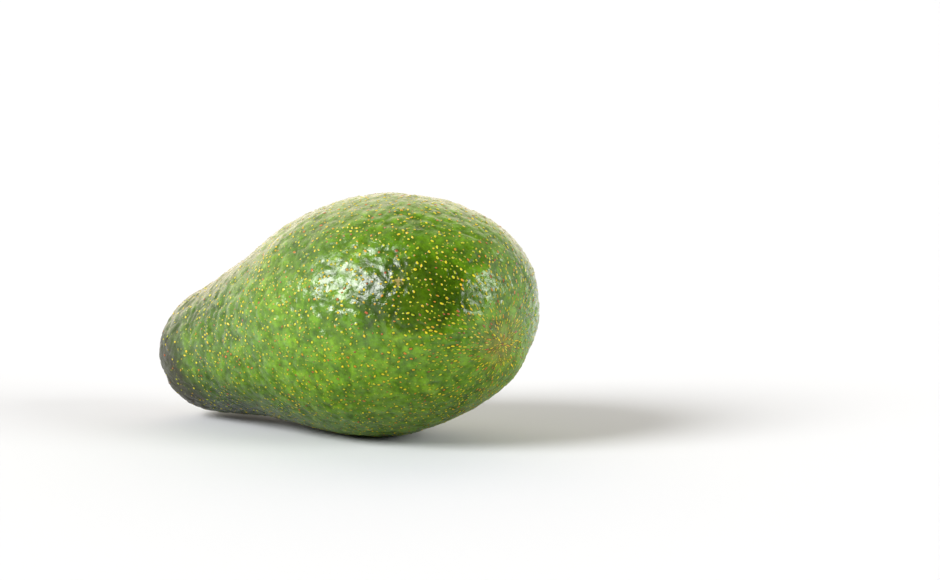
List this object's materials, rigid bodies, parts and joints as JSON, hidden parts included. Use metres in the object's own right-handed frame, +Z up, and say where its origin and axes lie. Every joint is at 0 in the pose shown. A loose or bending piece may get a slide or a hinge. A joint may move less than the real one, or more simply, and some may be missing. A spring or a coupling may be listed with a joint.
{
  "type": "avocado",
  "caption": "Whole green pear-shaped avocado lying on its side, with the woody stem button still in its neck end.",
  "frame": {"origin": "on the surface the fruit rests on, under the middle of its box", "axes": "+Z up, +X along the fruit from its stem end to its blossom end, +Y across it"},
  "size_m": [0.1245, 0.0716, 0.0696],
  "materials": {
    "skin": "glossy, pebbled, with small raised corky spots",
    "dried_stem": "rough and cracked"
  },
  "bodies": {
    "root": {"fruit": "skin", "stem_button": "dried_stem"}
  },
  "joints": []
}
